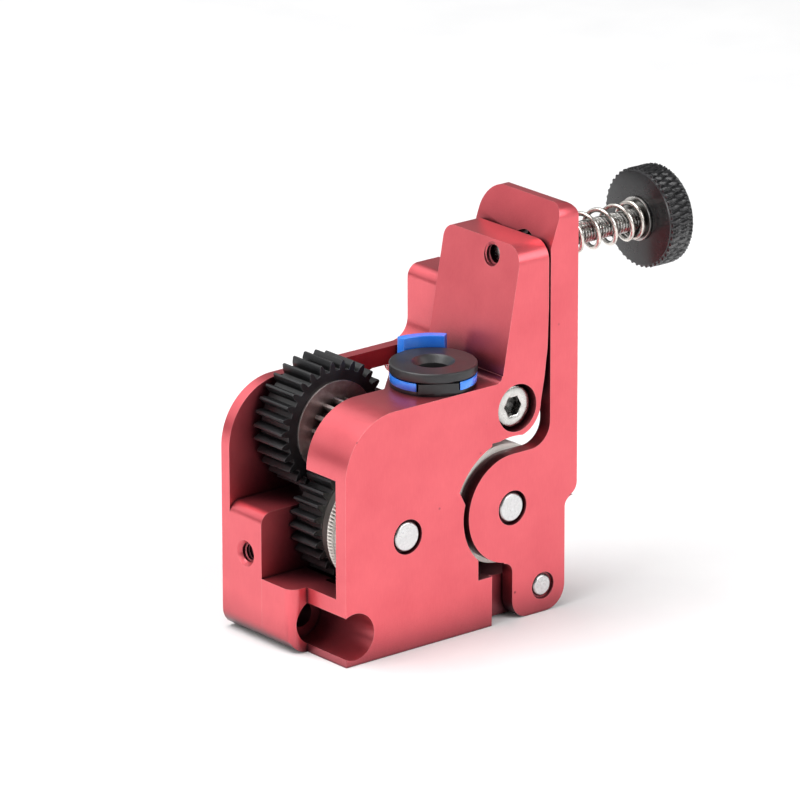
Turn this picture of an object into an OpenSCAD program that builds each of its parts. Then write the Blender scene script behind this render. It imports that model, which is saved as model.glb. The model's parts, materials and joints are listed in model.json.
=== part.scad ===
// Geared filament extruder: two aluminium housing halves, a reduction gear train, two hobbed
// filament gears, a sprung tension arm with thumb screw, and a push-in filament collet.
// Drawn with X to the right, Y from the front face back to the motor and Z up from the base.

/* [Housing] */
// Depth of the front housing half
front_depth = 14.0; // [13.9:0.1:14.0]
// Depth of the rear housing half
rear_depth = 8.15; // [8.1:0.05:8.4]
// Height of the housing's flat top
top_z = 32.8; // [32.6:0.1:33.0]
// Radius of the rounded upper left corner
corner_r = 8.0; // [6.0:0.5:9.0]
// Width of the housing below the arm
base_w = 24.25; // [24.0:0.05:24.5]
// Thickness of the front wall
wall = 2.0; // [1.8:0.05:2.0]
// Thickness of the motor plate
plate_t = 1.65; // [1.5:0.05:1.9]
// Top of the screw column
column_top = 50.2; // [50.0:0.1:51.0]

/* [Gears] */
// Gear module of the black reduction gears
gear_m = 0.55; // [0.55:0.01:0.55]
// Teeth of the big driven gear
big_teeth = 30; // [28:1:30]
// Teeth of the steel pinion
pinion_teeth = 13; // [13:1:13]
// Teeth of the gear on the drive hub
spur_teeth = 28; // [28:1:28]
// Radius of each filament gear
hob_r = 8.0; // [7.9:0.1:8.0]
// Gap between the rims of the two filament gears
hob_gap = 1.5; // [1.5:0.1:1.5]

/* [Arm and thumb screw] */
// Depth of the arm at its upper end
arm_depth = 15.2; // [14.0:0.1:17.0]
// Top of the arm
arm_top = 54.7; // [54.5:0.1:56.0]
// Thickness of the front cheek
cheek_t = 2.0; // [1.8:0.1:2.0]
// Knob radius
knob_r = 6.7; // [5.5:0.1:7.5]
// Knob thickness
knob_t = 4.1; // [3.4:0.1:4.5]
// Spring wire diameter
wire_d = 0.65; // [0.5:0.05:0.8]
// Spring turns
spring_turns = 7; // [5:1:8]

/* [Filament path] */
// Filament line, left to right
path_x = 18.95; // [18.95:0.05:18.95]
// Filament line, front to back
path_y = 5.5; // [5.4:0.1:5.6]
// Radius of the tube passage in the collet
tube_r = 2.05; // [2.0:0.01:2.1]
// Radius of the tube seat in the base
outlet_r = 2.2; // [2.15:0.05:2.3]

/* [Hidden] */
$fn = 96;
eps = 0.01;

back_y = front_depth + rear_depth;
drive_x = 10.2;
drive_z = 15.45;
hob_centres = 2 * hob_r + hob_gap;
idler_x = drive_x + hob_centres;
idler_z = drive_z;
mesh_dist = gear_m * (spur_teeth + pinion_teeth) / 2;
compound_x = 9.8;
compound_z = drive_z + sqrt(mesh_dist * mesh_dist - (drive_x - compound_x) * (drive_x - compound_x));
mesh_angle = atan2(compound_z - drive_z, compound_x - drive_x);
motor_x = 14.95;
motor_z = 16.4;
screw_dx = 13.5;
screw_dz = 12.5;
low_screw_x = motor_x - screw_dx;
low_screw_z = motor_z - screw_dz;
high_screw_x = motor_x + screw_dx;
high_screw_z = motor_z + screw_dz;
pivot_x = 32.9;
pivot_z = 3.6;
thumb_y = 5.5;
thumb_z = 48.2;

m3_r = 1.5;
m3_shank_r = 1.25;
m3_clear_r = 1.7;
m3_tap_r = 1.25;
m3_head_r = 2.75;
m3_head_h = 3.0;
run = 0.03;
pin_r = 2.0;
ring_r = 2.35;

slot_turn = 238;
low_seat_y = 11.0;
column_y1 = 15.3;
step_over_z = 33.05;
pilot_r = 5.0;
ring_depth = 1.2;
step_x = -2.6;
step_y = 7.9;
step_z = 8.8;
window_z = 24.74;
block_z = 17.6;
block_r = 1.6;
lug_y0 = 2.2;
lug_y1 = 8.7;
arm_x = 34.0;
arm_right = 38.65;
column_right = 33.7;
disc_r = 7.35;
rear_top_z = 18.7;
cheek_y0 = 8.9;
cheek_y1 = 11.4;
pocket_y1 = 11.7;
hob_y0 = 2.3;
hob_y1 = 8.2;
spur_y0 = 9.0;
spur_y1 = 13.9;
big_y0 = 14.3;
big_y1 = 20.0;
knob_x = 53.6;
seat_x = 36.5;
spring_x0 = seat_x + 0.1;
spring_x1 = 53.1;

// ---- drawing helpers -------------------------------------------------------------------

module along_y(y0, y1) {
    translate([0, y1, 0]) rotate([90, 0, 0]) linear_extrude(y1 - y0) children();
}

module cyl_y(x, z, r, y0, y1) {
    translate([x, y1, z]) rotate([90, 0, 0]) cylinder(r = r, h = y1 - y0);
}

module cyl_x(y, z, r, x0, x1) {
    translate([x0, y, z]) rotate([0, 90, 0]) cylinder(r = r, h = x1 - x0);
}

module cyl_z(x, y, r, z0, z1) {
    translate([x, y, z0]) cylinder(r = r, h = z1 - z0);
}

// a turned shape about an axis along Y; its 2D outline is radius against distance back
module turned_y(x, z) {
    translate([x, 0, z]) rotate([-90, 0, 0]) rotate_extrude() children();
}

// a turned shape about the thumb screw's axis; its outline is radius against X
module turned_x(y, z) {
    translate([0, y, z]) rotate([0, 90, 0]) rotate_extrude() children();
}

// the sliver between a square corner and its rounding; qx and qz point into the corner's material
module nick(x, z, r, qx, qz, over = 1) {
    difference() {
        translate([qx > 0 ? x - over : x - r, qz > 0 ? z - over : z - r]) square(r + over);
        translate([x + qx * r, z + qz * r]) circle(r);
    }
}

// the web that rounds an inside corner; qx and qz point into the open side
module web(x, z, r, qx, qz) {
    difference() {
        translate([qx > 0 ? x - 0.5 : x - r, qz > 0 ? z - 0.5 : z - r]) square(r + 0.5);
        translate([x + qx * r, z + qz * r]) circle(r);
    }
}

module ring_y(x, z, r_out, r_in, y0, y1) {
    difference() {
        cyl_y(x, z, r_out, y0, y1);
        cyl_y(x, z, r_in, y0 - 1, y1 + 1);
    }
}

// round pin along Y with a small edge break at both ends
module pin_y(x, z, r, y0, y1, c = 0.25) {
    turned_y(x, z)
        polygon([[0, y0], [r - c, y0], [r, y0 + c], [r, y1 - c], [r - c, y1], [0, y1]]);
}

function inv(a) = tan(a) * 180 / PI - a;
function flank(z, rp, r, play) =
    90 / z - play + inv(20) - (r > rp * cos(20) ? inv(acos(rp * cos(20) / r)) : 0);

// outline of a spur gear with a tooth centred on +X
module gear_outline(z, m, play, add = 1, ded = 1.25) {
    rp = z * m / 2;
    radii = [rp - ded * m, rp - 0.45 * m, rp, rp + add * m];
    n = len(radii);
    polygon([for (i = [0 : z - 1]) for (k = [0 : 2 * n - 1])
        let (r = k < n ? radii[k] : radii[2 * n - 1 - k],
             side = k < n ? -1 : 1,
             a = 360 * i / z + side * flank(z, rp, r, play))
        [r * cos(a), r * sin(a)]]);
}

module gear_y(x, z, turn, y0, y1) {
    translate([x, y1, z]) rotate([90, 0, 0]) linear_extrude(y1 - y0) rotate(turn) children();
}

module hex_socket(r, depth) {
    cylinder(r = r, h = depth, $fn = 6);
}

// ---- housing ---------------------------------------------------------------------------

module column_outline() {
    polygon([[25.85, top_z - 2], [25.85, top_z], [29.1, column_top], [column_right, column_top],
        [column_right, 41.3], [33.5, 36.0], [33.0, 32.1], [32.4, 28.9], [28.4, 28.9]]);
}

module front_outline() {
    difference() {
        union() {
            difference() {
                square([base_w, top_z]);
                nick(0, top_z, corner_r, 1, -1);
            }
            translate([base_w - 4, 24.95]) square([high_screw_x - base_w + 4, top_z - 24.95]);
            translate([high_screw_x, high_screw_z]) circle(3.95);
            column_outline();
            web(25.85, top_z, 0.9, -1, 1);
        }
    }
}

// room in the front face for the arm's disc, opening wider above it
module arm_pocket() {
    translate([idler_x, idler_z]) circle(8.25);
    intersection() {
        translate([idler_x, idler_z]) circle(9.75);
        polygon([[19.75, 17.6], [18.7, 19.7], [12, 30], [42, 30], [42, 17.6]]);
    }
    translate([21.95, 6.8]) square([4, 4]);
}

module front_housing() color("firebrick") {
    difference() {
        union() {
            along_y(0, front_depth) front_outline();
            // the screw column stands a little deeper than the housing, above the rear half
            along_y(front_depth - 0.5, column_y1) difference() {
                column_outline();
                translate([20, 20]) square([20, step_over_z - 20]);
            }
            // thin rear wall behind the arm
            along_y(pocket_y1, front_depth) difference() {
                translate([base_w - 2, 0]) square([33.2 - base_w + 2, top_z]);
                nick(33.2, 0, 4, -1, 1);
                nick(33.2, top_z, 1, -1, -1);
            }
            // step block at the lower left
            difference() {
                translate([step_x, step_y, 0]) cube([4, front_depth - step_y, step_z]);
                translate([0, 0, -1]) linear_extrude(30) nick(step_x, step_y, 1.5, 1, 1);
                along_y(0, 30) nick(step_x, 0, 2.6, 1, 1);
            }
            // hinge lug between the arm's cheeks
            along_y(lug_y0, lug_y1) difference() {
                union() {
                    translate([22, 0.3]) square([pivot_x - 22, 7.2]);
                    translate([pivot_x, pivot_z]) circle(3.3);
                }
                translate([idler_x, idler_z]) circle(9.6);
            }
        }
        // the arm's room, from the front face to the rear wall, except round the lug
        difference() {
            along_y(-1, pocket_y1) arm_pocket();
            along_y(lug_y0, lug_y1) translate([20, 0]) square([20, 6.6]);
        }
        // chambers of the two filament gears
        cyl_y(idler_x, idler_z, 9.6, wall, 8.8);
        cyl_y(drive_x, drive_z, 9.45, wall, 8.6);
        cyl_y(drive_x, drive_z, 8.7, 8, front_depth + 1);
        // left gear window and the open gear well behind the upper block
        translate([-5, wall, step_z]) cube([drive_x + 5, step_y - wall + eps, window_z - step_z]);
        translate([-5, step_y, step_z]) cube([drive_x + 5, 10, 20]);
        translate([0, 0, drive_z]) linear_extrude(40)
            polygon([[-5, step_y], [12.8, step_y], [12.8 + front_depth - step_y, front_depth],
                [12.8 + front_depth - step_y, front_depth + 1], [-5, front_depth + 1]]);
        // screw holes
        cyl_y(low_screw_x, low_screw_z, 3.15, -1, low_seat_y);
        cyl_y(low_screw_x, low_screw_z, m3_clear_r, 10, front_depth + 1);
        cyl_y(high_screw_x, high_screw_z, 3.2, -1, 0.8 + m3_head_h);
        cyl_y(high_screw_x, high_screw_z, m3_clear_r, 1, front_depth + 1);
        // pin seats
        cyl_y(drive_x, drive_z, pin_r, -1, wall + 1);
        cyl_y(drive_x, drive_z, ring_r, -1, ring_depth);
        cyl_y(compound_x, compound_z, m3_r, 2.9, step_y + 1);
        cyl_y(pivot_x, pivot_z, m3_r, lug_y0 - 1, lug_y1 + 1);
        cyl_y(22, 4, 1, 11, front_depth + 1);
        // filament path
        cyl_z(path_x, path_y, 4.0, 25.3, top_z + 1);
        cyl_z(path_x, path_y, 1.1, 8, 26);
        cyl_z(path_x, path_y, outlet_r, -1, 9);
        cyl_y(31, 38.5, 1, 11, column_y1 + 1);
        // thumb screw thread
        cyl_x(thumb_y, thumb_z, m3_r + run, 20, column_right + 1);
        // rounded top of the column
        rotate([90, 0, 90]) translate([0, 0, 24]) linear_extrude(12) {
            nick(0, column_top, 2.5, 1, -1);
            nick(column_y1, column_top, 1.8, -1, -1);
        }
    }
}

module back_housing() color("indianred") {
    difference() {
        along_y(front_depth, back_y) difference() {
            union() {
                translate([step_x, 0]) square([33.2 - step_x, 33]);
                translate([28.4, 20]) square([column_right - 28.4, 22.9]);
                web(28.4, 33, 2.8, -1, 1);
            }
            nick(step_x, 0, 2.6, 1, 1);
            nick(step_x, 33, 8.3, 1, -1);
            nick(33.2, 0, 4, -1, 1);
            nick(28.4, 42.9, 1.7, 1, -1);
            translate([33.2, -1]) square([2, 27]);
        }
        // seat of the screw column
        translate([20, 13, step_over_z - 0.05]) cube([20, column_y1 - 13, 20]);
        // gear well above the left block
        along_y(front_depth - 1, back_y - plate_t) difference() {
            translate([step_x - 2, block_z]) square([25.2 - step_x + 2, 20]);
            nick(25.2, block_z, 2, -1, 1, 0);
        }
        along_y(front_depth - 1, back_y - plate_t) nick(step_x, block_z, block_r, 1, -1);
        // motor pinion space and the pilot hole
        cyl_y(motor_x, motor_z, 6.0, front_depth + 1.9, back_y - plate_t + eps);
        translate([motor_x - 6, front_depth + 1.9, motor_z]) cube([12, 6, 4]);
        cyl_y(motor_x, motor_z, pilot_r, back_y - plate_t, back_y + 1);
        // light opening beside the big gear
        along_y(front_depth + 2, back_y + 1) difference() {
            translate([19.8, 24.5]) square([5.4, 6.1]);
            nick(19.8, 24.5, 1.5, 1, 1);
            nick(25.2, 24.5, 1.5, -1, 1);
            nick(19.8, 30.6, 1.5, 1, -1);
            nick(25.2, 30.6, 1.5, -1, -1);
        }
        // screw holes
        cyl_y(low_screw_x, low_screw_z, m3_clear_r, front_depth - 1, back_y + 1);
        cyl_y(high_screw_x, high_screw_z, m3_clear_r, front_depth - 1, back_y + 1);
        cyl_x(17.3, 11.4, m3_tap_r, step_x - 1, 3.4);
        turned_x(17.3, 11.4) polygon([[0, step_x - 0.5], [2.3, step_x - 0.5], [m3_tap_r - 0.05, step_x + 0.55],
            [0, step_x + 0.55]]);
        // pin seats
        cyl_y(drive_x, drive_z, 3.6, front_depth - 1, front_depth + 0.2);
        cyl_y(drive_x, drive_z, m3_r, front_depth - 1, front_depth + 3);
        cyl_y(compound_x, compound_z, m3_r, 20, back_y + 1);
        cyl_y(22, 4, 1, front_depth - 1, 17.1);
        cyl_y(31, 38.5, 1, front_depth - 1, 17.1);
    }
}

module housing_dowels() color("silver") {
    pin_y(22, 4, 1, 11.1, 17);
    pin_y(31, 38.5, 1, 11.1, 17);
}

module motor_screw() color("gainsboro") {
    difference() {
        turned_y(high_screw_x, high_screw_z)
            polygon([[0, 0.8], [m3_head_r - 0.3, 0.8], [m3_head_r, 1.1], [m3_head_r, 0.8 + m3_head_h],
                [m3_shank_r, 0.8 + m3_head_h], [m3_shank_r, back_y], [m3_r, back_y],
                [m3_r, back_y + 3.35], [m3_r - 0.35, back_y + 3.65], [0, back_y + 3.65]]);
        translate([high_screw_x, 0.7, high_screw_z]) rotate([-90, 0, 0]) hex_socket(1.44, 1.6);
    }
}

// ---- drive -----------------------------------------------------------------------------

module drive_pin() color("gainsboro") {
    turned_y(drive_x, drive_z)
        polygon([[0, 0.1], [pin_r - 0.2, 0.1], [pin_r, 0.3], [pin_r, 13.95], [m3_r, 13.95],
            [m3_r, 15.7], [0, 15.7]]);
}

module compound_pin() color("gainsboro") {
    pin_y(compound_x, compound_z, m3_r, 3.1, back_y - 0.15);
}

// hobbed band with a shallow groove for the filament
module hob_band(x, z, r_in) {
    groove_r = 1.15;
    turned_y(x, z) difference() {
        translate([r_in, hob_y0]) square([hob_r - r_in, 6.6 - hob_y0]);
        translate([hob_r - 0.15 + groove_r, path_y]) circle(groove_r);
    }
}

module hob_gear(x, z, r_in) {
    difference() {
        union() {
            hob_band(x, z, r_in);
            ring_y(x, z, 7.5, r_in, 6.6, hob_y1);
        }
        cyl_y(x, z, r_in, 0, 20);
    }
}

module drive_hob_gear() color("lightgray") {
    hob_gear(drive_x, drive_z, 3.0);
    ring_y(drive_x, drive_z, 6.5, 3.0, hob_y1, spur_y0);
    ring_y(drive_x, drive_z, 4.5, 3.0, spur_y0, spur_y1);
}

module drive_spur_gear() color("dimgray") {
    difference() {
        gear_y(drive_x, drive_z, mesh_angle, spur_y0, spur_y1) gear_outline(spur_teeth, gear_m, 0.35);
        cyl_y(drive_x, drive_z, 4.5, 0, 30);
    }
}

module drive_bushes() color("peru") {
    ring_y(drive_x, drive_z, 3.0, pin_r + run, hob_y0, 6.8);
    ring_y(drive_x, drive_z, 3.0, pin_r + run, 9.4, spur_y1);
}

module drive_washers() color("gray") {
    ring_y(drive_x, drive_z, 3.4, pin_r + run, wall + 0.03, wall + 0.27);
    ring_y(drive_x, drive_z, 3.4, m3_r + run, 13.98, 14.17);
}

module hub_pinion() color("rosybrown") {
    difference() {
        union() {
            gear_y(compound_x, compound_z, mesh_angle, 8.9, front_depth)
                gear_outline(pinion_teeth, gear_m, 0.7, 0.75);
            cyl_y(compound_x, compound_z, 6.2, front_depth, 14.9);
            cyl_y(compound_x, compound_z, 4.6, 14.9, big_y1);
        }
        cyl_y(compound_x, compound_z, 2.3, 0, 30);
    }
}

module big_gear() color("dimgray") {
    difference() {
        gear_y(compound_x, compound_z, mesh_angle, big_y0, big_y1) gear_outline(big_teeth, gear_m, 0.35);
        cyl_y(compound_x, compound_z, 4.6, 0, 30);
        cyl_y(compound_x, compound_z, 6.2, 14, 14.9);
    }
}

module hub_bushes() color("peru") {
    ring_y(compound_x, compound_z, 2.3, m3_r + run, 8.9, 12.9);
    ring_y(compound_x, compound_z, 2.3, m3_r + run, 16.0, big_y1);
}

module hub_washers() color("gray") {
    ring_y(compound_x, compound_z, 2.6, m3_r + run, step_y + 0.03, 8.87);
    ring_y(compound_x, compound_z, 3.2, m3_r + run, big_y1 + 0.03, back_y - plate_t - 0.03);
}

// ---- tension arm -----------------------------------------------------------------------

module arm_outline() {
    difference() {
        union() {
            translate([idler_x, idler_z]) circle(disc_r);
            translate([idler_x, 0]) square([36.6 - idler_x, idler_z + disc_r]);
            translate([idler_x, 15.0]) square([arm_right - idler_x, idler_z + disc_r - 15.0]);
            polygon([[arm_x, 20], [arm_right, 20], [arm_right, arm_top], [36.0, arm_top],
                [arm_x, 49.2]]);
            web(arm_x, idler_z + disc_r, 3.2, -1, 1);
            web(idler_x, 8.05, 1.4, -1, -1);
            web(36.6, 15.0, 1.4, 1, -1);
        }
        nick(idler_x, 0, 2.6, 1, 1);
        nick(36.6, 0, 3.2, -1, 1);
        nick(arm_right, 15.0, 1.7, -1, 1, 0);
        nick(arm_right, arm_top, 1.8, -1, -1);
    }
}

// the arm seen from the left: cheeks low down, full depth above
module arm_side() {
    difference() {
        polygon([[0, -1], [cheek_y1, -1], [cheek_y1, 27.0], [arm_depth, 27.0 + arm_depth - cheek_y1],
            [arm_depth, arm_top], [0, arm_top]]);
        nick(0, arm_top, 2.0, 1, -1);
        nick(arm_depth, arm_top, 3.6, -1, -1);
        difference() {
            translate([cheek_t, -2]) square([cheek_y0 - cheek_t, 29.5]);
            nick(cheek_t, 27.5, 1.0, 1, -1, 0);
            nick(cheek_y0, 27.5, 1.0, -1, -1, 0);
        }
    }
}

module tension_arm() color("crimson") {
    difference() {
        union() {
            intersection() {
                along_y(0, arm_depth) arm_outline();
                translate([18, 0, 0]) rotate([90, 0, 90]) linear_extrude(24) arm_side();
            }
            // bridge between the cheeks, outside the gear
            along_y(cheek_t - 0.1, cheek_y0 + 0.1) intersection() {
                arm_outline();
                translate([36.85, 10]) square([5, rear_top_z - 10]);
            }
        }
        // the rear cheek stops lower than the front one
        along_y(cheek_y0, arm_depth + 1) difference() {
            translate([idler_x, rear_top_z]) square([15, 27.5 - rear_top_z]);
            translate([idler_x, idler_z]) circle(disc_r);
        }
        cyl_y(idler_x, idler_z, pin_r, -1, cheek_y1 + 1);
        cyl_y(idler_x, idler_z, ring_r, -1, ring_depth);
        cyl_y(pivot_x, pivot_z, m3_r + run, -1, cheek_y1 + 1);
        cyl_y(pivot_x, pivot_z, 1.85, -1, 0.4);
        cyl_x(thumb_y, thumb_z, 2.25, 30, 42);
        cyl_x(thumb_y, thumb_z, 3.1, seat_x, 42);
    }
}

module pivot_pin() color("gainsboro") {
    pin_y(pivot_x, pivot_z, m3_r, 0.1, cheek_y1);
}

module idler_pin() color("gainsboro") {
    pin_y(idler_x, idler_z, pin_r, 0.1, cheek_y1);
}

module idler_hob_gear() color("lightgray") {
    hob_gear(idler_x, idler_z, 3.0);
}

module idler_bush() color("peru") {
    ring_y(idler_x, idler_z, 3.0, pin_r + run, hob_y0, hob_y1);
}

module idler_washers() color("gray") {
    ring_y(idler_x, idler_z, 3.4, pin_r + run, cheek_t + 0.03, cheek_t + 0.27);
    ring_y(idler_x, idler_z, 3.4, pin_r + run, hob_y1 + 0.05, cheek_y0 - 0.05);
}

// ---- collet ----------------------------------------------------------------------------

module collet_holder() color("dimgray") {
    difference() {
        union() {
            cyl_z(path_x, path_y + 0.1, 5.4, top_z, top_z + 0.5);
            cyl_z(path_x, path_y, 4.0, 26.2, top_z + 0.2);
            // key that stands in the clip's slot
            translate([path_x, path_y, top_z + 0.4]) rotate(slot_turn)
                translate([3.5, -2.6, 0]) cube([1.8, 5.2, 1.25]);
        }
        cyl_z(path_x, path_y, 3.3, 27.6, top_z + 2);
        cyl_z(path_x, path_y, tube_r + 0.25, 20, top_z + 2);
    }
}

module collet() color("darkslategray") {
    difference() {
        translate([path_x, path_y, 0]) rotate_extrude()
            polygon([[0, 28.6], [3.27, 28.6], [3.27, 34.55], [5.5, 34.55], [5.7, 34.75], [5.7, 35.75],
                [5.55, 35.9], [0, 35.9]]);
        cyl_z(path_x, path_y, tube_r, 20, 40);
        translate([path_x, path_y, 0]) rotate_extrude()
            polygon([[0, 34.9], [tube_r - 0.05, 34.9], [2.9, 36.0], [2.9, 37], [0, 37]]);
        for (a = [45, 135]) translate([path_x, path_y, 28]) rotate(a)
            translate([-5, -0.25, 0]) cube([10, 0.5, 3.6]);
    }
}

module collet_claws() color("silver") {
    difference() {
        cyl_z(path_x, path_y, 3.2, 27.75, 28.45);
        cyl_z(path_x, path_y, tube_r + 0.3, 20, 40);
        for (a = [0 : 60 : 120]) translate([path_x, path_y, 27]) rotate(a)
            translate([-2.7, -0.25, 0]) cube([5.4, 0.5, 3]);
    }
}

module clip_sector(r, half, turn) {
    rotate(turn) intersection() {
        circle(r);
        polygon([[0, 0], [20 * cos(half), -20 * sin(half)], [20, 0], [20 * cos(half), 20 * sin(half)]]);
    }
}

module collet_clip() color("royalblue") {
    tab_turn = 63;
    translate([path_x, path_y, top_z + 0.55]) {
        linear_extrude(1.15) difference() {
            circle(5.65);
            circle(3.35);
            rotate(slot_turn) translate([0, -2.8]) square([9, 5.6]);
        }
        linear_extrude(4.0) difference() {
            clip_sector(7.3, 27, tab_turn);
            circle(5.9);
        }
        linear_extrude(1.15) difference() {
            clip_sector(6.4, 27, tab_turn);
            circle(5.0);
        }
    }
}

// ---- thumb screw -----------------------------------------------------------------------

module thumb_screw() color("gainsboro") {
    head_x = knob_x + knob_t - m3_head_h;
    difference() {
        turned_x(thumb_y, thumb_z)
            polygon([[0, 29.9], [m3_r - 0.35, 29.9], [m3_r, 30.25], [m3_r, head_x], [m3_head_r, head_x],
                [m3_head_r, head_x + m3_head_h], [0, head_x + m3_head_h]]);
        translate([head_x + m3_head_h - 1.6, thumb_y, thumb_z]) rotate([0, 90, 0]) hex_socket(1.44, 2);
    }
}

module thumb_knob() color("dimgray") {
    head_x = knob_x + knob_t - m3_head_h;
    turned_x(thumb_y, thumb_z)
        polygon([[m3_r, knob_x], [knob_r - 0.4, knob_x], [knob_r, knob_x + 0.3],
            [knob_r, knob_x + knob_t - 0.3], [knob_r - 0.4, knob_x + knob_t],
            [m3_head_r, knob_x + knob_t], [m3_head_r, head_x], [m3_r, head_x]]);
}

module spring_washer() color("silver") {
    difference() {
        cyl_x(thumb_y, thumb_z, 2.95, spring_x1 + 0.05, knob_x - 0.05);
        cyl_x(thumb_y, thumb_z, m3_r + 0.1, 50, 55);
    }
}

// axial position along the coil: closed first and last turns, even pitch between them
function coil_x(t) =
    let (w = wire_d * 1.06, free = spring_x1 - spring_x0 - wire_d - 2 * w, n = spring_turns - 2)
    spring_x0 + wire_d / 2 + (t < 1 ? w * t : t > n + 1 ? w + free + w * (t - n - 1)
        : w + free * (t - 1) / n);

module tension_spring() color("lightgray") {
    seg = 20;
    side = 8;
    r = 2.35;
    rings = seg * spring_turns;
    points = [for (i = [0 : rings]) let (t = i / seg, a = 360 * t)
        for (k = [0 : side - 1]) let (b = 360 * k / side, q = r + wire_d / 2 * cos(b))
        [coil_x(t) + wire_d / 2 * sin(b), thumb_y + q * cos(a), thumb_z + q * sin(a)]];
    walls = [for (i = [0 : rings - 1]) for (k = [0 : side - 1]) let (n = (k + 1) % side)
        each [[i * side + k, (i + 1) * side + k, i * side + n],
              [i * side + n, (i + 1) * side + k, (i + 1) * side + n]]];
    polyhedron(points, concat(walls, [[for (k = [0 : side - 1]) k]],
        [[for (k = [side - 1 : -1 : 0]) rings * side + k]]), convexity = 12);
}

// everything is stored with its origin at the motor pilot, on the mounting face
module at_origin() {
    translate([-motor_x, -back_y, -motor_z]) children();
}

at_origin() front_housing();
at_origin() back_housing();
at_origin() housing_dowels();
at_origin() motor_screw();
at_origin() drive_pin();
at_origin() compound_pin();
at_origin() drive_hob_gear();
at_origin() drive_spur_gear();
at_origin() drive_bushes();
at_origin() drive_washers();
at_origin() hub_pinion();
at_origin() big_gear();
at_origin() hub_bushes();
at_origin() hub_washers();
at_origin() tension_arm();
at_origin() pivot_pin();
at_origin() idler_pin();
at_origin() idler_hob_gear();
at_origin() idler_bush();
at_origin() idler_washers();
at_origin() collet_holder();
at_origin() collet();
at_origin() collet_claws();
at_origin() collet_clip();
at_origin() thumb_screw();
at_origin() thumb_knob();
at_origin() spring_washer();
at_origin() tension_spring();
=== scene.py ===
"""Looks for the geared filament extruder: materials, threads, knurling, light and camera."""
import json
import math

import bmesh
import bpy
from mathutils import Matrix, Vector

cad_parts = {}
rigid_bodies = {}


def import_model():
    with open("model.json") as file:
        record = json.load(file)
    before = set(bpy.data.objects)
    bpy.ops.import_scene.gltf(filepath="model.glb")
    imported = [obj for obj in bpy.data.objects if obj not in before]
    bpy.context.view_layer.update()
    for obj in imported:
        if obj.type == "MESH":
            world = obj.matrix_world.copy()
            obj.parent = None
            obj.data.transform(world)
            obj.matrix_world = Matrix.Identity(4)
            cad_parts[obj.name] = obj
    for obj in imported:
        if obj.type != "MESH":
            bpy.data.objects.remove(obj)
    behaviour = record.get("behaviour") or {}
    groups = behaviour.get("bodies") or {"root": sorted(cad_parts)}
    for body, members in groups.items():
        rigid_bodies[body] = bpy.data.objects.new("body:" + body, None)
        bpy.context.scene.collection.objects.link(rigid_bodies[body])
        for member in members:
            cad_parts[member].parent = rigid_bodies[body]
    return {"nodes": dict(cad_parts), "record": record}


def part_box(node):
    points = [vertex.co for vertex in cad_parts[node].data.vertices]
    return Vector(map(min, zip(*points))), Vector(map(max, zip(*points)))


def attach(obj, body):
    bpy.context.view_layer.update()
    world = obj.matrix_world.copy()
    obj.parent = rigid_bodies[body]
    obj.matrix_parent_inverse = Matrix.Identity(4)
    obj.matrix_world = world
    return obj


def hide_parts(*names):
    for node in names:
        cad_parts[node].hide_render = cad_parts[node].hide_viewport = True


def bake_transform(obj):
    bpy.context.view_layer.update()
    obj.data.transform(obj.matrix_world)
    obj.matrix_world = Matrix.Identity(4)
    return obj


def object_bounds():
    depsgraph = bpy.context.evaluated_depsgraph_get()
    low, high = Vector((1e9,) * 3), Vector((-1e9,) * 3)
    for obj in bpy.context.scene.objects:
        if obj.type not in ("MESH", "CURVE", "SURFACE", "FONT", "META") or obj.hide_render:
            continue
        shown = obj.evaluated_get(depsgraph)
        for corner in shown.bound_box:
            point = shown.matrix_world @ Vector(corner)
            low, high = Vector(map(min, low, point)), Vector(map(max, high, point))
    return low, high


for old in list(bpy.data.objects):
    bpy.data.objects.remove(old, do_unlink=True)
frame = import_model()
nodes = frame["nodes"]
cad_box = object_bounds()

MM = 0.001
TURN = 2 * math.pi

# Standard hardware, in millimetres
M3_MAJOR = 1.5
M3_MINOR = 1.22
M3_PITCH = 0.5
M3_SHANK = 1.25
HEAD_R = 2.75
HEAD_H = 3.0
HEX_R = 1.44
HEX_DEPTH = 1.45
MOTOR_THREAD = 9.0

# Filament gears, in millimetres
HOB_LAND_R = 8.0
HOB_RIM_R = 7.5
HOB_BORE_R = 3.0
HOB_SLOTS = 105
HOB_SLOT_DEPTH = 0.5
HOB_COLUMNS = 840
HOB_PLAIN = 1.0
HOB_CUT_BAND = 3.3
HOB_LENGTH = 5.9
HUB_FLANGE = (6.7, 6.5)
HUB_R = 4.5
GROOVE_R = 1.15

# Knob and spring, in millimetres
KNURLS = 44
KNURL_DEPTH = 0.32
WIRE_D = 0.65
SPRING_TURNS = 7
SPRING_SPLIT = 0.72
SPRING_LIFT = 0.14

# The studio, in metres and degrees
FLOOR_HALF = 6.0
FLOOR_GAP = 0.00002
FILL_LIGHT = 0.20
CAMERA_LENS = 310.4
CAMERA_PLACE = (-0.53106, -0.66203, 0.29594)
CAMERA_AZIMUTH, CAMERA_ELEVATION, CAMERA_ROLL = 39.37, 18.576, -0.1


def smooth_step(value, low, high):
    t = max(0.0, min(1.0, (value - low) / (high - low)))
    return t * t * (3 - 2 * t)


# ---- materials -------------------------------------------------------------------------

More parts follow.
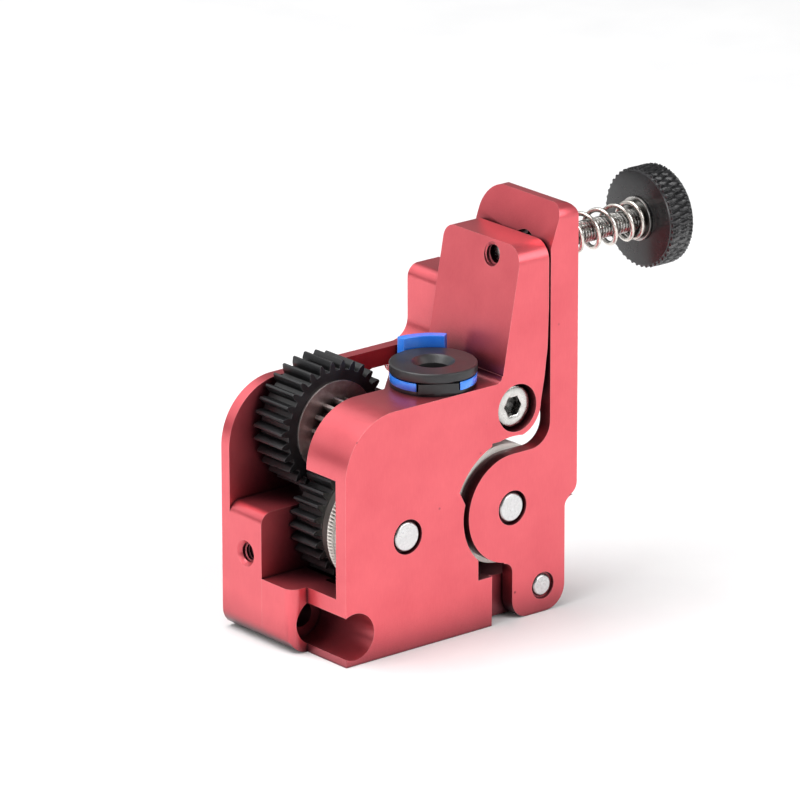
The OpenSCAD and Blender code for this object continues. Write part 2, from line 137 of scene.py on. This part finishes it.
class Nodes:
    """A short way to write node materials."""

    def __init__(self, name):
        self.mat = bpy.data.materials.new(name)
        self.mat.use_nodes = True
        self.tree = self.mat.node_tree
        self.tree.nodes.clear()
        self.out = self.add("ShaderNodeOutputMaterial")
        self.shader = self.add("ShaderNodeBsdfPrincipled")
        self.link(self.shader.outputs[0], self.out.inputs["Surface"])
        self.place = self.add("ShaderNodeTexCoord").outputs["Object"]

    def add(self, kind, **values):
        node = self.tree.nodes.new(kind)
        for key, value in values.items():
            setattr(node, key, value)
        return node

    def link(self, a, b):
        self.tree.links.new(a, b)

    def set(self, socket, value):
        self.shader.inputs[socket].default_value = value

    def stretch(self, scale):
        node = self.add("ShaderNodeMapping")
        node.inputs["Scale"].default_value = scale
        self.link(self.place, node.inputs["Vector"])
        return node.outputs[0]

    def noise(self, scale, detail, vector=None, rough=0.55):
        node = self.add("ShaderNodeTexNoise")
        node.inputs["Scale"].default_value = scale
        node.inputs["Detail"].default_value = detail
        node.inputs["Roughness"].default_value = rough
        self.link(vector or self.place, node.inputs["Vector"])
        return node.outputs["Fac"]

    def remap(self, value, low, high, out_low, out_high):
        node = self.add("ShaderNodeMapRange")
        for key, number in zip(("From Min", "From Max", "To Min", "To Max"),
                               (low, high, out_low, out_high)):
            node.inputs[key].default_value = number
        self.link(value, node.inputs["Value"])
        return node.outputs["Result"]

    def calc(self, kind, a, b):
        """A Math node; a and b are numbers or sockets."""
        node = self.add("ShaderNodeMath", operation=kind)
        for socket, value in zip(node.inputs, (a, b)):
            if isinstance(value, (int, float)):
                socket.default_value = value
            else:
                self.link(value, socket)
        return node.outputs[0]

    def mix(self, factor, a, b):
        node = self.add("ShaderNodeMix", data_type="RGBA")
        self.link(factor, node.inputs["Factor"])
        for key, value in (("A", a), ("B", b)):
            socket = [s for s in node.inputs if s.name == key and s.type == "RGBA"][0]
            if isinstance(value, tuple):
                socket.default_value = (*value, 1.0)
            else:
                self.link(value, socket)
        return [s for s in node.outputs if s.type == "RGBA"][0]

    def edges(self, radius):
        """1 on outer and inner edges, 0 on open surfaces."""
        bevel = self.add("ShaderNodeBevel", samples=4)
        bevel.inputs["Radius"].default_value = radius
        flat = self.add("ShaderNodeNewGeometry")
        dot = self.add("ShaderNodeVectorMath", operation="DOT_PRODUCT")
        self.link(bevel.outputs[0], dot.inputs[0])
        self.link(flat.outputs["Normal"], dot.inputs[1])
        return self.remap(dot.outputs["Value"], 0.80, 0.985, 1.0, 0.0)

    def paint_recess_shade(self, base, dark, reach, low=0.30, high=0.92):
        """Painted shade: darker where the surface is hemmed in."""
        shade = self.add("ShaderNodeAmbientOcclusion", samples=6)
        shade.inputs["Distance"].default_value = reach
        return self.mix(self.remap(shade.outputs["AO"], low, high, 0.0, 1.0), dark, base)

    def specks(self, scale, size):
        node = self.add("ShaderNodeTexVoronoi")
        node.inputs["Scale"].default_value = scale
        node.inputs["Randomness"].default_value = 1.0
        self.link(self.place, node.inputs["Vector"])
        return self.remap(node.outputs["Distance"], size * 0.4, size, 1.0, 0.0)

    def bump(self, height, depth, strength, before=None):
        """Bump by a height map, on top of an earlier one where given."""
        node = self.add("ShaderNodeBump")
        node.inputs["Strength"].default_value = strength
        node.inputs["Distance"].default_value = depth
        self.link(height, node.inputs["Height"])
        if before is not None:
            self.link(before, node.inputs["Normal"])
        self.link(node.outputs[0], self.shader.inputs["Normal"])
        return node.outputs[0]

    def colour(self, socket):
        self.link(socket, self.shader.inputs["Base Color"])

    def rough(self, socket):
        self.link(socket, self.shader.inputs["Roughness"])


def anodised(name):
    """Bead-blasted red anodising: faint vertical grain, edges lightened partly as wear and partly as painted
    highlight, a few dark specks, and painted shade in recesses and creases.
    """
    m = Nodes(name)
    m.set("Metallic", 0.80)
    m.set("Specular IOR Level", 0.6)
    m.set("Coat Weight", 0.45)
    m.set("Coat Roughness", 0.25)
    cloud = m.noise(140, 4)
    grain = m.noise(1.0, 3, m.stretch((7500, 7500, 700)))
    blast = m.noise(9500, 2)
    base = m.mix(m.remap(cloud, 0.3, 0.7, 0, 1), (0.72, 0.098, 0.122), (0.80, 0.125, 0.150))
    base = m.mix(m.remap(grain, 0.42, 0.75, 0, 0.14), base, (0.90, 0.20, 0.22))
    # edges lightened, partly as wear and partly as painted highlight
    base = m.mix(m.calc("MULTIPLY", m.edges(0.00012), 0.42), base, (1.0, 0.50, 0.50))
    dirt = m.calc("MULTIPLY", m.specks(330, 0.075), m.remap(m.noise(90, 2), 0.56, 0.62, 0, 1))
    base = m.mix(m.calc("MULTIPLY", dirt, 0.75), base, (0.10, 0.02, 0.03))
    # painted shade: darker in recesses, and darker still in fine creases and seams
    base = m.paint_recess_shade(base, (0.075, 0.012, 0.020), 0.006)
    m.colour(m.paint_recess_shade(base, (0.050, 0.008, 0.014), 0.0004, 0.55, 0.90))
    m.rough(m.calc("ADD", m.remap(blast, 0.3, 0.7, 0.30, 0.40), m.remap(cloud, 0.3, 0.7, -0.02, 0.04)))
    first = m.bump(blast, 0.000006, 0.35)
    m.bump(grain, 0.000003, 0.22, first)
    return m.mat


def moulded(name, dark, light, rough, edge_wear_and_highlight=0.5, edge_wear_and_highlight_colour=(0.16, 0.16, 0.17), coat=0.0):
    """A moulded plastic or a satin black finish, with lighter edges that are partly wear and partly painted
    highlight, and painted shade in its recesses.
    """
    m = Nodes(name)
    m.set("Specular IOR Level", 0.55)
    m.set("Coat Weight", coat)
    m.set("Coat Roughness", 0.12)
    cloud = m.noise(420, 4)
    fine = m.noise(6500, 3)
    base = m.mix(m.remap(cloud, 0.3, 0.7, 0, 1), dark, light)
    # edges lightened, partly as wear and partly as painted highlight
    base = m.mix(m.calc("MULTIPLY", m.edges(0.00010), edge_wear_and_highlight), base, edge_wear_and_highlight_colour)
    # painted shade in recesses
    m.colour(m.paint_recess_shade(base, tuple(0.35 * part for part in dark), 0.0025))
    m.rough(m.remap(cloud, 0.3, 0.7, rough - 0.06, rough + 0.07))
    first = m.bump(fine, 0.000009, 0.35)
    m.bump(cloud, 0.00003, 0.25, first)
    return m.mat


def steel(name, dark, light, rough, stretch=(900, 900, 900), edge_wear_and_highlight=0.5, edge_wear_and_highlight_colour=(0.95, 0.93, 0.90),
          metallic=1.0, slot_shade_colour=None, recess_shade_level=0.13):
    """A machined steel, with painted shade in its cuts where a mesh says so, lighter edges that are partly
    wear and partly painted highlight, and painted shade in its recesses.
    """
    m = Nodes(name)
    m.set("Metallic", metallic)
    marks = m.noise(1.0, 4, m.stretch(stretch), 0.65)
    cloud = m.noise(700, 3)
    base = m.mix(m.remap(marks, 0.3, 0.7, 0, 1), dark, light)
    # edges lightened, partly as wear and partly as painted highlight
    base = m.mix(m.calc("MULTIPLY", m.edges(0.00009), edge_wear_and_highlight), base, edge_wear_and_highlight_colour)
    # painted shade in the cuts, darker where the mesh marks them deeper
    if slot_shade_colour:
        cut = m.add("ShaderNodeAttribute", attribute_name="cut").outputs["Fac"]
        base = m.mix(cut, base, slot_shade_colour)
    # painted shade in recesses, unless the level is 1
    if recess_shade_level < 1:
        base = m.paint_recess_shade(base, tuple(recess_shade_level * part for part in dark), 0.0025)
    m.colour(base)
    m.rough(m.calc("ADD", m.remap(marks, 0.3, 0.7, rough - 0.05, rough + 0.06),
                   m.remap(cloud, 0.35, 0.65, -0.03, 0.04)))
    first = m.bump(marks, 0.000006, 0.4)
    m.bump(cloud, 0.00001, 0.2, first)
    return m.mat


LOOKS = {
    "red_anodised": anodised("red_anodised"),
    "ground_steel": steel("ground_steel", (0.60, 0.60, 0.60), (0.76, 0.76, 0.76), 0.30, (2600, 900, 2600)),
    "stainless": steel("stainless", (0.58, 0.565, 0.54), (0.80, 0.78, 0.75), 0.24, (1500, 1500, 1500)),
    # the filament gears' slots get painted shade from the mesh instead of recess shade
    "hob_steel": steel("hob_steel", (0.90, 0.87, 0.80), (0.97, 0.95, 0.90), 0.36, (900, 5200, 900),
                       metallic=0.10, slot_shade_colour=(0.05, 0.042, 0.038), recess_shade_level=1.0),
    "pinion_steel": steel("pinion_steel", (0.48, 0.41, 0.40), (0.62, 0.545, 0.53), 0.36,
                          (1800, 5200, 1800), 0.65, (0.62, 0.58, 0.54)),
    "black_polymer": moulded("black_polymer", (0.006, 0.006, 0.007), (0.013, 0.013, 0.015), 0.40),
    "bronze": steel("bronze", (0.50, 0.32, 0.16), (0.66, 0.45, 0.24), 0.42),
    "washer_steel": steel("washer_steel", (0.66, 0.65, 0.62), (0.82, 0.81, 0.78), 0.30),
    "collet_black": moulded("collet_black", (0.014, 0.014, 0.016), (0.028, 0.027, 0.028), 0.40, 0.35,
                            (0.13, 0.12, 0.12)),
    "blue_clip": moulded("blue_clip", (0.025, 0.21, 0.97), (0.045, 0.28, 1.0), 0.18, 0.45,
                         (0.20, 0.50, 1.0), 0.5),
    "knob_black": moulded("knob_black", (0.009, 0.009, 0.010), (0.017, 0.0165, 0.018), 0.25, 0.60,
                          (0.20, 0.20, 0.21)),
    "spring_steel": steel("spring_steel", (0.66, 0.62, 0.57), (0.88, 0.84, 0.78), 0.24, (2400, 2400, 2400)),
}


# ---- mesh helpers ----------------------------------------------------------------------

def bridge(rings, closed=False, start_cap=False, end_cap=False):
    """Quads between neighbouring rings of equally many points."""
    size = len(rings[0])
    verts = [point for ring in rings for point in ring]
    faces = []
    count = len(rings)
    for i in range(count if closed else count - 1):
        a, b = i * size, ((i + 1) % count) * size
        for k in range(size):
            n = (k + 1) % size
            faces.append((a + k, a + n, b + n, b + k))
    if start_cap:
        faces.append(tuple(range(size))[::-1])
    if end_cap:
        faces.append(tuple(range((count - 1) * size, count * size)))
    return verts, faces


def piece(name, shape, slot, body, matrix, sharp=35):
    """A mesh object in metres from a shape in millimetres, placed by a matrix.

    It rides on a CAD body, unless body is None.
    """
    verts, faces = shape
    mesh = bpy.data.meshes.new(name)
    mesh.from_pydata([Vector(v) * MM for v in verts], [], faces)
    work = bmesh.new()
    work.from_mesh(mesh)
    work.transform(matrix)
    bmesh.ops.recalc_face_normals(work, faces=work.faces)
    work.to_mesh(mesh)
    work.free()
    mesh.polygons.foreach_set("use_smooth", [True] * len(mesh.polygons))
    mesh.set_sharp_from_angle(angle=math.radians(sharp))
    mesh.materials.append(LOOKS[slot])
    thing = bpy.data.objects.new(name, mesh)
    bpy.context.collection.objects.link(thing)
    if body:
        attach(thing, body)
    return thing


def facing(origin, direction):
    """A matrix that takes local +Z to a direction, from an origin in metres."""
    turn = Vector((0, 0, 1)).rotation_difference(Vector(direction)).to_matrix().to_4x4()
    return Matrix.Translation(origin) @ turn


def circle(z, radius, columns):
    return [(radius * math.cos(TURN * k / columns), radius * math.sin(TURN * k / columns), z)
            for k in range(columns)]


def hexagon(z, corner_r, columns):
    """A hexagon with as many points as a circle, so that the two can be bridged."""
    flat = corner_r * math.cos(math.pi / 6)
    ring = []
    for k in range(columns):
        a = TURN * k / columns
        r = flat / math.cos((a % (math.pi / 3)) - math.pi / 6)
        ring.append((r * math.cos(a), r * math.sin(a), z))
    return ring


def thread_rings(z0, z1, columns, taper=0.5):
    """Rings of a right-handed M3 thread, running out at both ends."""
    rings = []
    steps = int((z1 - z0) / M3_PITCH * 8)
    for i in range(steps + 1):
        z = z0 + (z1 - z0) * i / steps
        ease = smooth_step(z, z0, z0 + taper) * smooth_step(z1 - z, 0, taper)
        ring = []
        for k in range(columns):
            phase = (z / M3_PITCH - k / columns) % 1.0
            ridge = 1 - abs(2 * phase - 1)
            ridge = max(0.0, min(1.0, (ridge - 0.14) / 0.72))
            r = M3_MINOR + (M3_MAJOR - M3_MINOR) * (ridge * ease)
            a = TURN * k / columns
            ring.append((r * math.cos(a), r * math.sin(a), z))
        rings.append(ring)
    return rings


def socket_screw(length, thread_end, columns=48):
    """An M3 socket cap screw from its tip at z 0 to the top of its head."""
    head = length - HEAD_H
    rings = [circle(0, 0.95, columns)]
    rings += thread_rings(0.12, thread_end, columns)
    if thread_end < head - 0.3:
        rings += [circle(thread_end + 0.15, M3_SHANK, columns), circle(head, M3_SHANK, columns)]
    rings += [circle(head, M3_MINOR, columns)] if thread_end >= head - 0.3 else []
    rings += [circle(head, HEAD_R - 0.12, columns), circle(head + 0.12, HEAD_R, columns)]
    for i in range(9):
        z = head + 0.3 + (HEAD_H - 0.75) * i / 8
        cut = 0 if i % 2 else 0.0225
        rings.append([(x * (1 - cut * (k % 2)), y * (1 - cut * (k % 2)), z)
                      for k, (x, y, z) in enumerate(circle(z, HEAD_R, columns))])
    rings += [circle(length - 0.30, HEAD_R, columns), circle(length - 0.09, HEAD_R - 0.09, columns),
              circle(length, HEAD_R - 0.32, columns)]
    rings += [circle(length, HEX_R + 0.14, columns), hexagon(length - 0.12, HEX_R, columns),
              hexagon(length - HEX_DEPTH, HEX_R, columns), circle(length - HEX_DEPTH - 0.3, 0.25, columns)]
    return bridge(rings, start_cap=True, end_cap=True)


def paint_slot_shade(thing, centre, land, depth):
    """Store how deep each point lies below the land, for the material's painted shade in the cuts."""
    layer = thing.data.attributes.new("cut", "FLOAT", "POINT")
    for vertex, item in zip(thing.data.vertices, layer.data):
        r = math.hypot(vertex.co.x - centre.x, vertex.co.z - centre.z) / MM
        inside = land - depth * 1.15 < r < land
        item.value = smooth_step(land - r, depth * 0.25, depth * 0.9) if inside else 0.0


def band_radius(y, groove_y):
    """The filament gear's rim radius, less where the filament's groove runs."""
    off = abs(y - groove_y)
    if off < GROOVE_R * 0.5:
        return HOB_LAND_R + 0.85 - math.sqrt(GROOVE_R ** 2 - off ** 2)
    return HOB_LAND_R


def hob_gear(front_y, groove_y, hub):
    """A filament gear along the frame's Y, with its fine slanted slots."""
    def ring(y, radius):
        points = []
        for k in range(HOB_COLUMNS):
            a = TURN * k / HOB_COLUMNS
            r = radius(a) if callable(radius) else radius
            points.append((r * math.cos(a), y, r * math.sin(a)))
        return points

    def slotted(y, reach):
        land = min(HOB_LAND_R, band_radius(y, groove_y))

        def radius(a):
            wave = (a / TURN * HOB_SLOTS + (y - groove_y) * 0.62) % 1.0
            cut = smooth_step(wave, 0.34, 0.46) * smooth_step(1.0 - wave, 0.0, 0.12)
            return land - HOB_SLOT_DEPTH * cut * reach
        return radius

    start, rear = front_y + HOB_PLAIN, front_y + HOB_LENGTH
    rings = [ring(front_y, HOB_BORE_R), ring(front_y, HOB_LAND_R - 0.14), ring(front_y + 0.12, HOB_LAND_R),
             ring(start, HOB_LAND_R)]
    rows = 16
    for i in range(rows + 1):
        y = start + 0.15 + (HOB_CUT_BAND - 0.3) * i / rows
        rings.append(ring(y, slotted(y, smooth_step(y, start + 0.1, start + 0.35))))
    rings += [ring(start + HOB_CUT_BAND, HOB_LAND_R - 0.08), ring(start + HOB_CUT_BAND + 0.02, HOB_RIM_R),
              ring(rear - 0.1, HOB_RIM_R), ring(rear, HOB_RIM_R - 0.1)]
    rings += [ring(y, r) for y, r in hub]
    rings.append(ring(hub[-1][0] if hub else rear, HOB_BORE_R))
    return bridge(rings, closed=True)


def knurled_knob(thick, outer, hole, seat_r, seat_depth):
    """The knob along local Z: slanted serrations all round a flat-faced disc."""
    columns = KNURLS * 8

    def ring(z, radius, cut=0.0):
        points = []
        for k in range(columns):
            first = 1 - abs(2 * ((k / 8 + z * 0.34) % 1.0) - 1)
            second = 1 - abs(2 * ((k / 8 - z * 0.34) % 1.0) - 1)
            ridge = min(smooth_step(first, 0.0, 0.6), smooth_step(second, 0.0, 0.6) * 0.6 + 0.4)
            r = radius - cut * (1 - ridge)
            a = TURN * k / columns
            points.append((r * math.cos(a), r * math.sin(a), z))
        return points

    rings = [ring(0, hole), ring(0, outer - 0.5), ring(0.05, outer - 0.38), ring(0.22, outer - 0.34)]
    rows = 20
    for i in range(rows + 1):
        z = 0.30 + (thick - 0.60) * i / rows
        rings.append(ring(z, outer, KNURL_DEPTH))
    rings += [ring(thick - 0.22, outer - 0.34), ring(thick - 0.05, outer - 0.38), ring(thick, outer - 0.5),
              ring(thick, seat_r + 0.18), ring(thick - 0.18, seat_r), ring(thick - seat_depth, seat_r),
              ring(thick - seat_depth, hole)]
    return bridge(rings, closed=True)


def coil(length, mean_r, wire_r, turns, split, per_turn=56, sides=14):
    """A compression spring along local X from 0 to its length, in two parts that meet at a share of it."""
    pitch0 = wire_r * 2 * 1.06
    free = length - 2 * wire_r - 2 * pitch0
    middle = turns - 2

    def along(t):
        if t < 1:
            return wire_r + pitch0 * t
        if t > middle + 1:
            return wire_r + pitch0 + free + pitch0 * (t - middle - 1)
        return wire_r + pitch0 + free * (t - 1) / middle

    rings = []
    for i in range(per_turn * turns + 1):
        t = i / per_turn
        a = TURN * t
        end = min(i, per_turn * turns - i) / per_turn
        w = wire_r * (0.55 + 0.45 * smooth_step(end, 0, 0.04))
        ring = []
        for k in range(sides):
            b = TURN * k / sides
            q = mean_r + w * math.cos(b)
            ring.append((along(t) + w * math.sin(b), q * math.cos(a), q * math.sin(a)))
        rings.append(ring)
    cut = min(range(len(rings)), key=lambda i: abs(along(i / per_turn) - split * length))
    parts = [bridge(part, start_cap=True, end_cap=True) for part in (rings[:cut + 1], rings[cut:])]
    return parts, along(cut / per_turn)


def thread_ridge(z0, z1, outer, inner, per_turn=32):
    """A helical ridge on the wall of a tapped hole, along local Z."""
    rings = []
    turns = (z1 - z0) / M3_PITCH
    steps = int(turns * per_turn)
    half = M3_PITCH * 0.34
    for i in range(steps + 1):
        t = i / per_turn
        a = TURN * t
        ease = smooth_step(min(i, steps - i) / per_turn, 0, 0.4)
        z = z0 + M3_PITCH * t
        top = outer - (outer - inner) * ease
        ring = []
        for r, dz in ((outer + 0.05, -half), (top, -0.04), (top, 0.04), (outer + 0.05, half)):
            ring.append((r * math.cos(a), r * math.sin(a), z + dz))
        rings.append(ring)
    return bridge(rings, start_cap=True, end_cap=True)


# ---- CAD parts that keep their shape: rounded edges and finishes ------------------------

def edge_shading_group(angle):
    """Smooth shading except across edges steeper than an angle."""
    group = bpy.data.node_groups.new("edge_shading", "GeometryNodeTree")
    group.interface.new_socket("Geometry", in_out="INPUT", socket_type="NodeSocketGeometry")
    group.interface.new_socket("Geometry", in_out="OUTPUT", socket_type="NodeSocketGeometry")
    start = group.nodes.new("NodeGroupInput")
    end = group.nodes.new("NodeGroupOutput")
    faces = group.nodes.new("GeometryNodeSetShadeSmooth")
    faces.domain = "FACE"
    edges = group.nodes.new("GeometryNodeSetShadeSmooth")
    edges.domain = "EDGE"
    edges.inputs["Shade Smooth"].default_value = False
    steep = group.nodes.new("FunctionNodeCompare")
    steep.operation = "GREATER_THAN"
    steep.inputs[1].default_value = math.radians(angle)
    measure = group.nodes.new("GeometryNodeInputMeshEdgeAngle")
    group.links.new(start.outputs[0], faces.inputs["Geometry"])
    group.links.new(faces.outputs[0], edges.inputs["Geometry"])
    group.links.new(measure.outputs[0], steep.inputs[0])
    group.links.new(steep.outputs[0], edges.inputs["Selection"])
    group.links.new(edges.outputs[0], end.inputs[0])
    return group


shading = edge_shading_group(38)
# Bevel widths, in millimetres
EDGE_WIDTHS = {
    "front_housing": 0.18, "back_housing": 0.18, "tension_arm": 0.16,
    "drive_spur_gear": 0.07, "big_gear": 0.07, "hub_pinion": 0.05, "collet_clip": 0.22, "collet": 0.12,
    "collet_holder": 0.08, "drive_pin": 0.06, "idler_pin": 0.06, "pivot_pin": 0.06,
}
OTHER_EDGE_WIDTH = 0.04


def finish_cad(name, thing, slot):
    """The slot's material, flat faces merged, and edges rounded."""
    for holder in thing.material_slots:
        holder.material = LOOKS[slot]
    width = EDGE_WIDTHS.get(name, OTHER_EDGE_WIDTH)
    weld = thing.modifiers.new("join", "WELD")
    weld.merge_threshold = 0.000002
    planes = thing.modifiers.new("planes", "DECIMATE")
    planes.decimate_type = "DISSOLVE"
    planes.angle_limit = math.radians(0.6)
    bevel = thing.modifiers.new("edges", "BEVEL")
    bevel.width = width * MM
    bevel.segments = 2
    bevel.limit_method = "ANGLE"
    bevel.angle_limit = math.radians(40)
    bevel.use_clamp_overlap = True
    bevel.miter_outer = "MITER_ARC"
    soft = thing.modifiers.new("shade", "NODES")
    soft.node_group = shading
    normals = thing.modifiers.new("normals", "WEIGHTED_NORMAL")
    normals.keep_sharp = True
    normals.weight = 60


slots = {part["node"]: part["material_slot"] for part in frame["record"]["subparts"]}
for name, thing in nodes.items():
    finish_cad(name, thing, slots[name])


# ---- parts rebuilt in full detail -------------------------------------------------------

def corners(node):
    """A node's lowest and highest corner and its middle."""
    low, high = (Vector(v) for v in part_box(node))
    return low, high, (low + high) / 2


def replace(thing, node):
    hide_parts(node)
    return thing


tip, high, thumb_mid = corners("thumb_screw")
thumb_length = (high.x - tip.x) / MM
thumb_place = facing((tip.x, thumb_mid.y, thumb_mid.z), (1, 0, 0))
replace(piece("thumb_screw_threaded", socket_screw(thumb_length, thumb_length - HEAD_H - 0.05),
              "stainless", "thumb", thumb_place), "thumb_screw")

low, high, screw_mid = corners("motor_screw")
screw_length = (high.y - low.y) / MM
replace(piece("motor_screw_threaded", socket_screw(screw_length, MOTOR_THREAD), "stainless", "housing",
              facing((screw_mid.x, high.y, screw_mid.z), (0, -1, 0))), "motor_screw")

low, high, _ = corners("thumb_knob")
knob_t = (high.x - low.x) / MM
knob_r = (high.z - low.z) / MM / 2 - 0.02    # a hair inside the CAD knob, whose rim is faceted
replace(piece("knurled_knob", knurled_knob(knob_t, knob_r, M3_MAJOR + 0.03, HEAD_R + 0.03, HEAD_H + 0.02),
              "knob_black", "thumb", facing((low.x, thumb_mid.y, thumb_mid.z), (1, 0, 0)), sharp=30),
        "thumb_knob")

low, high, _ = corners("tension_spring")
spring_length = (high.x - low.x) / MM
spring_r = (high.z - low.z) / MM / 2 - WIRE_D / 2
halves, cut_x = coil(spring_length, spring_r, WIRE_D / 2, SPRING_TURNS, SPRING_SPLIT)
seat_end, knob_end = (Vector((x, thumb_mid.y, thumb_mid.z)) for x in (low.x, high.x))
still = Vector((low.x + cut_x * MM, thumb_mid.y, thumb_mid.z))
# the arm's end of the coil sits a little high, so it clears the screw when the arm drops as it opens
lift = Matrix(((1, 0, 0, 0), (0, 1, 0, 0), (-SPRING_LIFT / cut_x, 0, 1, SPRING_LIFT * MM), (0, 0, 0, 1)))
for part, name, bodies, ends in ((halves[0], "coil_spring_arm_end", ("arm", "housing"), (seat_end, still)),
                                 (halves[1], "coil_spring_knob_end", ("housing", "spring_seat"),
                                  (still, knob_end))):
    place = Matrix.Translation(seat_end) @ (lift if bodies[0] == "arm" else Matrix.Identity(4))
    half = replace(piece(name, part, "spring_steel", None, place, sharp=60), "tension_spring")
    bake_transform(half)

mounts = {mount["name"]: mount for mount in frame["record"]["mounts"]}
filament_y = mounts["filament_inlet"]["pos_m"][1]
for node, body, has_hub in (("drive_hob_gear", "drive", True), ("idler_hob_gear", "idler", False)):
    low, high, centre = corners(node)
    hub = []
    if has_hub:
        flange_y, flange_r = HUB_FLANGE
        hub = [(HOB_LENGTH, flange_r), HUB_FLANGE, (flange_y, HUB_R), ((high.y - low.y) / MM, HUB_R)]
    shape = hob_gear(0.0, (filament_y - low.y) / MM, hub)
    gear = replace(piece(node + "_cut", shape, "hob_steel", body,
                         Matrix.Translation((centre.x, low.y, centre.z)), sharp=28), node)
    # painted shade in the slots, darker deeper down
    paint_slot_shade(gear, centre, HOB_LAND_R, HOB_SLOT_DEPTH)

side = mounts["side_thread"]
side_r = side["dims"]["r_mm"]
side_half = side["dims"]["length_mm"] / 2
piece("side_hole_thread", thread_ridge(-side_half + 0.3, side_half - 0.25, side_r, side_r - 0.17),
      "red_anodised", "housing", facing(side["pos_m"], side["axis"]))
# whole pitches from the screw's tip, so the hole's thread lies in the screw's groove
piece("column_hole_thread", thread_ridge(-2 * M3_PITCH, -0.12, M3_MAJOR + 0.03, M3_MINOR + 0.06),
      "red_anodised", "housing", thumb_place)


# ---- floor, light and camera ------------------------------------------------------------

def look_basis(azimuth, elevation):
    """Right, up and forward directions of a camera that looks along +Y at azimuth 0."""
    a, e = math.radians(azimuth), math.radians(elevation)
    right = Vector((math.cos(a), -math.sin(a), 0))
    up = Vector((math.sin(a) * math.sin(e), math.cos(a) * math.sin(e), math.cos(e)))
    forward = Vector((math.sin(a) * math.cos(e), math.cos(a) * math.cos(e), -math.sin(e)))
    return right, up, forward


def stage_material():
    m = Nodes("pale_floor")
    m.set("Specular IOR Level", 0.15)
    speck = m.noise(60, 3)
    m.colour(m.mix(m.remap(speck, 0.3, 0.7, 0, 1), (0.90, 0.90, 0.905), (0.93, 0.93, 0.93)))
    m.rough(m.remap(speck, 0.3, 0.7, 0.55, 0.65))
    return m.mat


floor_mesh = bpy.data.meshes.new("floor")
floor_mesh.from_pydata([(FLOOR_HALF * x, FLOOR_HALF * y, 0) for x, y in ((-1, -1), (1, -1), (1, 1), (-1, 1))],
                       [], [(0, 1, 2, 3)])
floor_mesh.materials.append(stage_material())
floor = bpy.data.objects.new("floor", floor_mesh)
floor.location.z = cad_box[0][2] - FLOOR_GAP
bpy.context.collection.objects.link(floor)

world = bpy.data.worlds.new("studio")
world.use_nodes = True
bpy.context.scene.world = world
tree = world.node_tree
tree.nodes.clear()
surface = tree.nodes.new("ShaderNodeOutputWorld")
# the camera sees a white room, and the object gets a weaker fill light
seen = tree.nodes.new("ShaderNodeBackground")
seen.inputs["Color"].default_value = (1, 1, 1, 1)
seen.inputs["Strength"].default_value = 1.0
fill = tree.nodes.new("ShaderNodeBackground")
fill.inputs["Color"].default_value = (1, 1, 1, 1)
fill.inputs["Strength"].default_value = FILL_LIGHT
path = tree.nodes.new("ShaderNodeLightPath")
choice = tree.nodes.new("ShaderNodeMixShader")
tree.links.new(path.outputs["Is Camera Ray"], choice.inputs[0])
tree.links.new(fill.outputs[0], choice.inputs[1])
tree.links.new(seen.outputs[0], choice.inputs[2])
tree.links.new(choice.outputs[0], surface.inputs[0])

target = Vector([(a + b) / 2 for a, b in zip(*cad_box)])


def softbox(name, direction, distance, size, power):
    """A rectangular light that faces the object."""
    data = bpy.data.lights.new(name, "AREA")
    data.shape = "RECTANGLE"
    data.size, data.size_y = size
    data.energy = power
    lamp = bpy.data.objects.new(name, data)
    away = Vector(direction).normalized()
    lamp.location = target + away * distance
    lamp.rotation_euler = (-away).to_track_quat("-Z", "Y").to_euler()
    bpy.context.collection.objects.link(lamp)


softbox("key", (0.40, -1.0, 0.60), 0.9, (0.8, 0.6), 5.3)
softbox("top", (-0.30, 0.15, 1.0), 0.8, (0.6, 0.6), 5.6)
softbox("left", (-1.0, -0.10, 0.35), 0.9, (0.6, 0.6), 2.1)
softbox("rim", (-0.45, 0.75, 0.75), 0.9, (1.3, 0.9), 3.0)

camera_data = bpy.data.cameras.new("camera")
camera_data.lens = CAMERA_LENS
camera_data.sensor_width = 36.0
camera_data.clip_start = 0.05
camera_data.clip_end = 20.0
camera = bpy.data.objects.new("camera", camera_data)
right, up, forward = look_basis(CAMERA_AZIMUTH, CAMERA_ELEVATION)
turn = Matrix((right, up, -forward)).transposed().to_4x4()
roll = Matrix.Rotation(math.radians(CAMERA_ROLL), 4, "Z")
camera.matrix_world = Matrix.Translation(CAMERA_PLACE) @ turn @ roll
bpy.context.collection.objects.link(camera)
bpy.context.scene.camera = camera
bpy.context.scene.view_settings.view_transform = "Standard"
bpy.context.scene.view_settings.look = "None"
